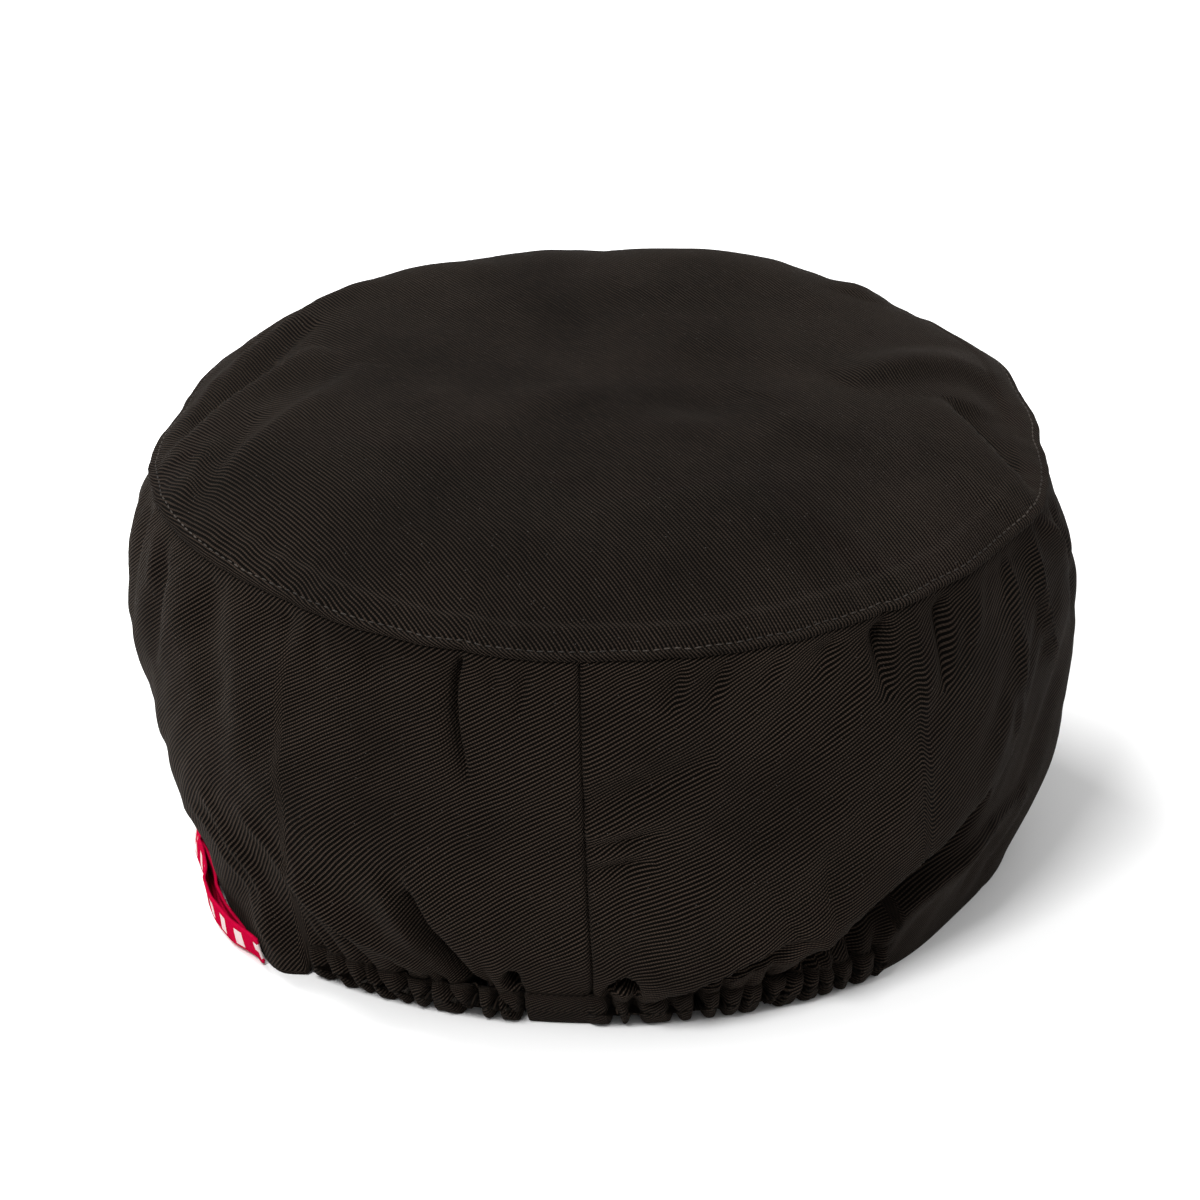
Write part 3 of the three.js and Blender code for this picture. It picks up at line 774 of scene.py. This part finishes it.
def spread(values, axis, reach):
    """Evens out a grid of values along one direction, as cloth does when its threads shear."""
    weights = bell(np.arange(-2 * reach, 2 * reach + 1), reach)
    padding = [(2 * reach, 2 * reach) if k == axis else (0, 0) for k in (0, 1)]
    padded = np.pad(values, padding, mode="edge")
    return np.apply_along_axis(np.convolve, axis, padded, weights / weights.sum(), mode="valid")


def lay_map(piece, uv):
    """Notes each vertex's place on the flat cloth, in millimetres, at the corners of its faces."""
    corners = np.empty(len(piece.data.loops), dtype=int)
    piece.data.loops.foreach_get("vertex_index", corners)
    layer = piece.data.uv_layers.new(name=CLOTH_MAP)
    layer.data.foreach_set("uv", uv[corners].ravel())


def sew(piece, xy, z):
    """Moves each vertex to its place in millimetres, and merges those that meet."""
    points = np.column_stack([xy + AXIS, z]) * MM
    piece.data.vertices.foreach_set("co", points.ravel())
    form = bmesh.new()
    form.from_mesh(piece.data)
    bmesh.ops.remove_doubles(form, verts=form.verts, dist=MERGED)
    form.to_mesh(piece.data)
    form.free()


def thicken(piece, thickness):
    """Gives a sheet its thickness, inwards from the face that was placed."""
    cloth = piece.modifiers.new("cloth", "SOLIDIFY")
    cloth.thickness = thickness * MM
    cloth.offset = -1


print("vertices closer than", MERGED / MM, "mm are merged")

# %% [markdown]
# The wall
#
# The real wall is one strip. Its top edge turns in under the top panel, and its bottom edge folds up inside
# as a deep hem, except at the back, where it goes into the elastic's channel. So the grid is longer than the
# wall: past 1 its level stands for the turned-in seam allowance, and below 0 for the turned-up hem. The
# columns crowd together at the back, which the camera sees, and the strip's ends meet in a groove along the
# centre-back seam, which leans a little to the wearer's left on its way up.

# %% The wall's shape
WALL_COLUMNS = 552
WALL_ROWS = 88
ROUND_SHARES = (0, 0.008, 0.165, 0.335, 0.435, 0.5)
ROUND_AZIMUTHS = (0, 0.30, 20, 58, 112, 180)
ROW_SHARES = (0, 0.10, 0.22, 0.86, 0.94, 1)
ROW_LEVELS = (-1, 0, 0.16, 0.95, 1, 2)
CASING_BLEND = 0.8  # in degrees, at each end of the channel
GROOVE_DEPTH = 1.9
GROOVE_WIDTH = 0.34
GROOVE_SHOULDER_DEPTH = 0.6
GROOVE_SHOULDER_WIDTH = 3.0
GATHER_WIDENING = 0.8


def crowded(share):
    """Azimuths for shares from 0 to 1, closer together at the back and closest beside the seam."""
    azimuth = np.interp(np.minimum(share, 1 - share), ROUND_SHARES, ROUND_AZIMUTHS)
    return np.where(share > 0.5, -azimuth, azimuth)


def seam_lean(height):
    """The azimuth of the centre-back seam."""
    return -0.7 - 1.6 * np.clip(height, 0, 1)


def over_casing(azimuth):
    """1 where the channel is and 0 past its ends."""
    return ease(CASING_END + CASING_BLEND - np.abs(azimuth), 0, 2 * CASING_BLEND)


def left_by_seam(height, start, taken):
    """What is left of a form towards the crown seam, which takes a share of it from a height on."""
    return 1 - taken * ease(height, start, 1)


def wall_rise(azimuth, height):
    """How far folds, waves, gathers and the seam's groove move the wall out, and shove it along."""
    z = height * seam_height(azimuth)
    rise, shove = fold_rise(WALL_FOLDS, azimuth, height, wall_map)
    at_casing = over_casing(azimuth) * (1 - ease(z, CASING_HEIGHT - 1.5, CASING_HEIGHT + 1.5))
    rise = rise * left_by_seam(height, 0.94, 0.75) * (1 - at_casing)
    gather = NOTCH_DEPTH * notch(azimuth, z, GATHER_WIDENING)
    from_seam = np.abs(np.radians(azimuth - seam_lean(height))) * CROWN_HALF_WIDTH
    groove = GROOVE_DEPTH * np.exp(-from_seam / GROOVE_WIDTH)
    groove = groove + GROOVE_SHOULDER_DEPTH * np.exp(-from_seam / GROOVE_SHOULDER_WIDTH)
    groove = groove * left_by_seam(height, 0.985, 0.7)
    dip = gather + groove + pitted(azimuth, z)
    small = wall_waves(azimuth, height) * ease(z, 0, 14) * left_by_seam(height, 0.95, 0.6)
    return rise + small - dip, shove


def wall_place(azimuth, height, depth=0.0):
    """A point of the wall's outer face, in millimetres, or of a layer that lies deeper."""
    z = height * seam_height(azimuth)
    rise, shove = wall_rise(azimuth, height)
    hold = (1 - np.clip(height, 0, 1) ** 6) * ease(z, 4, 16)
    xy = wall_plan(azimuth, height) + outward(azimuth) * (rise - depth)[:, None]
    xy = xy + sideways(azimuth) * (shove[:, 0] * hold)[:, None]
    return xy, z + shove[:, 1] * hold


print("groove along the centre-back seam:", GROOVE_DEPTH + GROOVE_SHOULDER_DEPTH, "mm deep")

# %% Cut the wall and turn its edges
CLOTH = 0.8
FACING_HEIGHT = 26
FACING_GAP = 0.3
ALLOWANCE = 8
TURN_RADIUS = 0.85
HEM_TURN_SHARE = 0.25  # of the turned-up rows
SEAM_TURN_SHARE = 0.2  # of the turned-in rows
ABOVE_CASING = 0.3
HIDDEN_DEPTH = 2.6  # how far in and down the wall's edge goes behind the channel
HIDDEN_DROP = 3.5

wall = as_piece("side_band_twill", flat_cut(WALL_COLUMNS, WALL_ROWS), finishes["twill_wall"])
cut = points_of(wall)
level = np.interp(cut[:, 1], ROW_SHARES, ROW_LEVELS)
on_wall = np.clip(level, 0, 1)
strip_azimuth = crowded(cut[:, 0])
azimuth = strip_azimuth + seam_lean(on_wall) * bell(strip_azimuth, 60)

gathered = over_casing(azimuth)
lowest = (TURN_RADIUS * (1 - gathered) + (CASING_HEIGHT + ABOVE_CASING) * gathered) / seam_height(azimuth)
height = lowest + (1 - lowest) * on_wall
turned_up = np.clip(-level, 0, 1)
turned_in = np.clip(level - 1, 0, 1)

fold_share = np.clip(turned_up / HEM_TURN_SHARE, 0, 1)
up_share = np.clip((turned_up - HEM_TURN_SHARE) / (1 - HEM_TURN_SHARE), 0, 1)
plain_depth = TURN_RADIUS * (1 - np.cos(np.pi * fold_share)) + FACING_GAP * up_share
plain_drop = -TURN_RADIUS * np.sin(np.pi * fold_share) + FACING_HEIGHT * up_share
hidden_depth = HIDDEN_DEPTH * ease(turned_up, 0, 0.6)
hidden_drop = -HIDDEN_DROP * turned_up
depth = plain_depth * (1 - gathered) + hidden_depth * gathered
drop = plain_drop * (1 - gathered) + hidden_drop * gathered

raised = height + np.maximum(drop, 0) / seam_height(azimuth)
xy, z = wall_place(azimuth, raised, depth)
z = z + np.minimum(drop, 0)
quarter = np.pi / 2 * np.clip(turned_in / SEAM_TURN_SHARE, 0, 1)
in_share = np.clip((turned_in - SEAM_TURN_SHARE) / (1 - SEAM_TURN_SHARE), 0, 1)
inset = TURN_RADIUS * (1 - np.cos(quarter)) + (ALLOWANCE - TURN_RADIUS) * in_share
xy = xy - outward(azimuth) * inset[:, None]
z = z + TURN_RADIUS * np.sin(quarter) * (turned_in > 0) - TURN_RADIUS * ease(level, 0.9, 1)
print("side band: cut with", len(cut), "points")

# %% [markdown]
# The strip's flat measure
#
# The ridges of the twill follow the flat strip, so its map is worked out as the tailor would lay it down.
# Folds take up more cloth than the smooth wall, and the map has to move on by as much, or the ridges would
# be stretched over each fold. Cloth also shears, which spreads that over its neighbours.

# %% Lay the wall's map and sew it
STRIP_CURVE = 25  # how far the strip, cut in a gentle curve, climbs by the sides
WALL_FULLNESS = 1.06  # the wall's curve is longer than the wall is high
HEM_TURN = 2
ROWS_EVENED = 9
COLUMNS_EVENED = 14
FOLDS_COUNT_TO = 72  # in degrees, after which the folds' cloth is left out little by little
FOLDS_END_AT = 116

round_mm = np.radians(strip_azimuth + 360 * (cut[:, 0] > 0.5)) * CROWN_HALF_WIDTH
up_mm = on_wall * WALL_HEIGHT * WALL_FULLNESS - turned_up * (FACING_HEIGHT + HEM_TURN) + turned_in * ALLOWANCE
smooth_xy = wall_plan(azimuth, raised) - outward(azimuth) * (depth + inset)[:, None]
smooth = np.column_stack([smooth_xy, z])
more_round, more_up = cloth_used(np.column_stack([xy, z]), WALL_COLUMNS, smooth)
middle_column = WALL_COLUMNS // 2
from_seam = more_round.copy()
from_seam[:, middle_column:] -= more_round[:, -1:]
held = 1 - ease(np.abs(azimuth), FOLDS_COUNT_TO, FOLDS_END_AT)
round_mm = round_mm + spread(from_seam, 0, ROWS_EVENED).ravel() * held
from_top = more_up - more_up[-1:]
climb = STRIP_CURVE * (1 - np.cos(np.radians(azimuth)))
up_mm = up_mm + spread(from_top, 1, COLUMNS_EVENED).ravel() + climb
lay_map(wall, np.column_stack([round_mm, up_mm]))
sew(wall, xy, z)
thicken(wall, CLOTH)
print("side band:", len(wall.data.polygons), "faces")

# %% [markdown]
# The top panel
#
# The panel is an oval of the same twill, domed by the hand that shaped it. Its edge is turned under, and
# three layers lie on each other there, so it stands up as a welt. Just inside the edge a line of stitches
# presses the welt down. The grid's second direction runs here from the middle to the edge, and past 1 its
# level stands for the edge that is turned under. Its first row shrinks to one point, the middle. The columns
# run backwards round the cap, so that the faces look up.

# %% The top panel's shape
CROWN_RISE = 14.8
RIM_HEIGHT = 0.7
RIM_PROUD = 0.2
TIP_TURN = 0.55
TIP_TURN_SHARE = 0.4  # of the rows that are turned under
UNDER_ON_MAP = 0.08
DOME_FULLNESS = (3.2, 4.8, 7.5)  # at the back, side and front: the more, the further out it stays high
STITCH_INSET = 1.1
STITCH_PULL = 0.25
STITCH_PULL_WIDTH = 0.5
WELT_HEIGHT = 0.6
TIP_COLUMNS = 440
TIP_ROWS = 72
TIP_SHARES = (0, 0.60, 0.88, 1)
TIP_LEVELS = (0, 0.9, 1, 2)


def tip_place(azimuth, reach):
    """A point of the top panel's outer face, in millimetres. Its reach runs from 0 in the middle to 1."""
    middle_height = WALL_HEIGHT + (FRONT_RISE - BACK_DROP) / 4
    tilt = (seam_height(azimuth) - middle_height) * reach**1.5
    dome = CROWN_RISE * (1 - reach ** around(azimuth, *DOME_FULLNESS))
    folds, _ = fold_rise(TIP_FOLDS, azimuth, reach, tip_map)
    folds = folds * (1 - reach**8)
    from_edge = (1 - reach) * CROWN_HALF_WIDTH
    stitched = -STITCH_PULL * bell(from_edge - STITCH_INSET, STITCH_PULL_WIDTH)
    welt = -WELT_HEIGHT * ease(from_edge, 5.5, 8) * ease(30 - from_edge, 0, 20)
    seam_rise, _ = wall_rise(azimuth, np.ones_like(azimuth))
    proud = seam_rise * reach**4 + RIM_PROUD * reach**12
    xy = crown_plan(azimuth) * reach[:, None] + outward(azimuth) * proud[:, None]
    z = middle_height + RIM_HEIGHT + tilt + dome + folds + stitched + welt + tip_waves(azimuth, reach)
    return xy, z


# %% Cut the top panel and turn its edge
tip = as_piece("crown_tip_twill", flat_cut(TIP_COLUMNS, TIP_ROWS), finishes["twill_crown"])
cut = points_of(tip)
azimuth = 180 - cut[:, 0] * 360
level = np.interp(cut[:, 1], TIP_SHARES, TIP_LEVELS)
reach = np.minimum(level, 1)
under = np.maximum(level - 1, 0)
xy, z = tip_place(azimuth, reach)
turn = np.pi * np.clip(under / TIP_TURN_SHARE, 0, 1)
under_share = np.clip((under - TIP_TURN_SHARE) / (1 - TIP_TURN_SHARE), 0, 1)
out = TIP_TURN * np.sin(turn) - (ALLOWANCE - 1) * under_share
xy = xy + outward(azimuth) * out[:, None]
z = z - TIP_TURN * (1 - np.cos(turn))
lay_map(tip, crown_plan(azimuth) * (reach + under * UNDER_ON_MAP)[:, None] * [-1, 1])
sew(tip, xy, z)
thicken(tip, CLOTH)
looks_up = tip.data.polygons[TIP_COLUMNS * 20].normal.z > 0
print("top panel:", len(tip.data.polygons), "faces, looking up:", looks_up)

# %% [markdown]
# The elastic's channel
#
# The channel is a flat tube of twill, puffed between the notches. The grid goes round the back of the cap by
# eighty degrees, and its second direction goes round the tube. Each vertex then moves out with the puffs and
# in with the notches, and the two ends are filled. Fine ripples run over it, but not over the plain
# stretch.

# %% The casing's shape
CASING_COLUMNS = 420
CASING_SIDES = 28
CASING_THICKNESS = 4.4
CASING_PUFF = 1.7
CASING_OUT = 0.3
CASING_RIPPLE = Wave((1.4, 7, 1), 0.35, 31.0)
CASING_FULLNESS = 1.3  # how much longer the channel is before the elastic gathers it
SECTION_FULLNESS = 1.2
END_PINCH = 1.2
PLAIN_START = -9.2
PLAIN_END = -0.6
PLAIN_BLEND = 0.8
PLAIN_FLATNESS = 0.75


def rounded(value, power):
    """A sine or cosine made squarer."""
    return np.sign(value) * np.abs(value) ** power


casing = as_piece("elastic_casing_twill", flat_cut(CASING_COLUMNS, CASING_SIDES), finishes["twill_casing"])
cut = points_of(casing)
azimuth = CASING_END * (2 * cut[:, 0] - 1)
section = 2 * np.pi * cut[:, 1]
plain_stretch = ease(azimuth, PLAIN_START, PLAIN_START + PLAIN_BLEND)
plain_stretch = plain_stretch * ease(-azimuth, -PLAIN_END, -PLAIN_END + PLAIN_BLEND)
half_height = CASING_HEIGHT / 2
z = half_height + half_height * rounded(np.sin(section), 0.9)
side = rounded(np.cos(section), 0.85)
dent = notch(azimuth, z)
puff = CASING_PUFF * (1 - PLAIN_FLATNESS * plain_stretch) * (1 - np.minimum(dent, 1))
lift = NOTCH_RISE * np.minimum(dent, 1) * ease(half_height - z, -half_height, half_height)
round_mm = np.radians(azimuth) * HEM_HALF_WIDTH
ripple = waves(np.column_stack([round_mm, z, section]), CASING_RIPPLE) * (1 - plain_stretch)
out = np.where(side > 0, side * (puff + CASING_OUT + ripple), 0) - NOTCH_DEPTH * dent * (side > -0.2)
back_face = np.where(side < 0, side * CASING_THICKNESS, 0)
end_pinch = ease(CASING_END - np.abs(azimuth), 0, END_PINCH)
xy = wall_plan(azimuth, z / seam_height(azimuth))
xy = xy + outward(azimuth) * (out * end_pinch + back_face)[:, None]
lay_map(casing, np.column_stack([round_mm * CASING_FULLNESS, section * half_height * SECTION_FULLNESS]))
sew(casing, xy, z + lift)
tube = bmesh.new()
tube.from_mesh(casing.data)
bmesh.ops.holes_fill(tube, edges=[edge for edge in tube.edges if edge.is_boundary], sides=0)
bmesh.ops.recalc_face_normals(tube, faces=tube.faces)
tube.to_mesh(casing.data)
tube.free()
print("casing:", len(casing.data.polygons), "faces")

# %% [markdown]
# The woven label
#
# A narrow red tape lies along the hem on the wearer's left, woven with pale bars. It is folded lengthwise:
# its inner layer is sewn to the cap, and the outer one bows out over a dark gap before its back end comes in
# to the hem again. Its weave is finer than the cap's: ribs run along it and picks across, and both give
# tone and relief. The grid's second direction goes down the inner layer and up the outer.

# %% The label's finish
LABEL_LENGTH = 58
LABEL_HEIGHT = 6.5
RIB_PITCH = 0.42
PICK_PITCH = 0.3
BAR_PITCH = 7.0
BAR_START = 0.35  # the bars are what rises above this in a wave
BAR_HALF_HEIGHT = 1.9
DEEP_RED = (0.20, 0.0005, 0.010, 1)
BRIGHT_RED = (0.60, 0.004, 0.050, 1)
PALE_BAR = (0.62, 0.55, 0.53, 1)


def red_tape():
    tape = Finish("red woven tape")
    place, x, y = tape.flat_measure()
    rib = y.wave(RIB_PITCH) * 0.5 + 0.5
    pick = x.wave(PICK_PITCH) * 0.5 + 0.5
    grain = tape.noise(place, 1.5, 3.0)
    base = tape.mix(rib * 0.35 + pick * 0.2 + grain * 0.4, DEEP_RED, BRIGHT_RED)
    bar = (x.wave(BAR_PITCH) - BAR_START).math("GREATER_THAN", 0)
    inside = (y - LABEL_HEIGHT / 2).math("ABSOLUTE").math("LESS_THAN", BAR_HALF_HEIGHT)
    base = tape.mix(bar * inside * 0.9, base, PALE_BAR)
    relief = rib + pick * 0.5 + grain
    bump = tape.node("Bump", None, {"Strength": 0.6, "Distance": 0.0001, "Height": relief})
    return tape.end(Base_Color=base, Roughness=0.7, Normal=bump, Specular_IOR_Level=0.0)


finishes["label_weave"] = red_tape()
print("pale bars:", BAR_PITCH, "mm apart")

# %% The label's shape
LABEL_COLUMNS = 80
LABEL_ROWS = 32
LABEL_BACK_END = -46.5
LABEL_ABOVE_HEM = 0.4
LABEL_OFF_WALL = 1.2
LABEL_STAND_OFF = 3.2
LABEL_TILT = 1.0  # how much further out the fold stands than the outer layer's free edge
LABEL_CLOTH = 0.6

label = as_piece("label_tape", flat_cut(LABEL_COLUMNS, LABEL_ROWS), finishes["label_weave"])
cut = points_of(label)
along = cut[:, 0]
up = 2 * cut[:, 1] - 1
azimuth = LABEL_BACK_END - np.degrees(LABEL_LENGTH / HEM_HALF_WIDTH) * (1 - along)
inner_height = 0.85 - 0.35 * ease(along, 0.3, 0.7)
z = LABEL_ABOVE_HEM + LABEL_HEIGHT * np.abs(up) * np.where(up < 0, inner_height, 1)
bow = ease(along, 0.0, 0.75) * (1 - ease(along, 0.80, 1))
outer = LABEL_OFF_WALL + (LABEL_STAND_OFF + LABEL_TILT * (0.5 - np.abs(up))) * bow
inner = 0.3 + 0.5 * along
lift = inner + (outer - inner) * ease(up, -0.12, 0.12)
xy, _ = wall_place(azimuth, z / seam_height(azimuth), -lift)
lay_map(label, np.column_stack([along * LABEL_LENGTH, up * LABEL_HEIGHT]))
sew(label, xy, z)
thicken(label, LABEL_CLOTH)
print("label:", len(label.data.polygons), "faces")

# %% [markdown]
# Stitches
#
# A lockstitch shows as a row of short grains of thread, each sunk into the cloth at both ends. One grain is a
# small ball, drawn out along the seam. Copied and moved on by its own pitch it makes two, these make four,
# and so on, which is much quicker than adding hundreds one by one. The straight row is then bent along the
# seam.

# %% Stitches
STITCH_PITCH = 2.1
STITCH_LENGTH = 1.5
STITCH_SIDES = 8
STITCH_RINGS = 6
STITCH_LIFT = 0.05
THREAD = 0.38
THREAD_DARK = (0.010, 0.008, 0.0065, 1)
THREAD_LIGHT = (0.090, 0.073, 0.060, 1)


def cotton_thread():
    thread = Finish("cotton thread")
    place = thread.node("TexCoord", None, None, output=3)
    twist = thread.noise(place, 4000.0, 2.0)
    worn = thread.noise(place, 45.0, 3.0) * 2.6 - 0.95
    base = thread.mix(twist * worn.math("MAXIMUM", 0.1), THREAD_DARK, THREAD_LIGHT)
    return thread.end(Base_Color=base, Roughness=0.7, Specular_IOR_Level=0.15)


def straight_row(count, pitch):
    """A straight row of stitches, at least as many as were asked for."""
    form = bmesh.new()
    grain = Matrix.Diagonal((STITCH_LENGTH / 2, THREAD / 2, THREAD / 2, 1))
    first = Matrix.Translation((pitch / 2, 0, 0)) @ grain
    bmesh.ops.create_uvsphere(form, u_segments=STITCH_SIDES, v_segments=STITCH_RINGS, radius=1, matrix=first)
    made = 1
    while made < count:
        more = bmesh.ops.duplicate(form, geom=form.verts[:] + form.edges[:] + form.faces[:])["geom"]
        moved = [part for part in more if isinstance(part, bmesh.types.BMVert)]
        bmesh.ops.translate(form, verts=moved, vec=(pitch * made, 0, 0))
        made *= 2
    return form


def stitch_row(name, line, finish):
    """Stitches along a line of points in millimetres."""
    run = np.concatenate([[0], np.cumsum(np.linalg.norm(np.diff(line, axis=0), axis=1))])
    count = int(run[-1] / STITCH_PITCH)
    form = straight_row(count, run[-1] / count)
    spare = [vert for vert in form.verts if vert.co.x > run[-1]]
    bmesh.ops.delete(form, geom=spare, context="VERTS")
    row = as_piece(name, form, finish)
    straight = points_of(row)
    bent, ahead, back = [
        np.column_stack([np.interp(straight[:, 0] + step, run, line[:, k]) for k in range(3)])
        for step in (0, 0.5, -0.5)
    ]
    tangent = (ahead - back) / np.linalg.norm(ahead - back, axis=1)[:, None]
    across = np.cross([0.0, 0.0, 1.0], tangent)
    bent = bent + across * straight[:, 1:2] + np.array([0, 0, 1]) * straight[:, 2:3]
    row.data.vertices.foreach_set("co", (bent * MM).ravel())
    print(name, count, "stitches")
    return row


thread_finish = cotton_thread()
ring_azimuth = np.linspace(-180, 180, 1441)
xy, z = tip_place(ring_azimuth, np.full_like(ring_azimuth, 1 - STITCH_INSET / CROWN_HALF_WIDTH))
topstitch = stitch_row("topstitch", np.column_stack([xy + AXIS, z + STITCH_LIFT]), thread_finish)

# %% [markdown]
# Handing the pieces to the frame
#
# Each piece moves with the cap's one body. Each sheet also stands for the solid that it dresses, which is
# hidden.

# %% Bodies and hidden solids
for piece, slot, nodes in (
    (wall, "twill_wall", ("side_band",)),
    (tip, "twill_crown", ("crown_tip",)),
    (casing, "twill_casing", ("elastic_casing",)),
    (label, "label_weave", ("woven_label",)),
    (topstitch, "twill_crown", ()),
):
    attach(piece, "root")
    if nodes:
        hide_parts(*nodes)
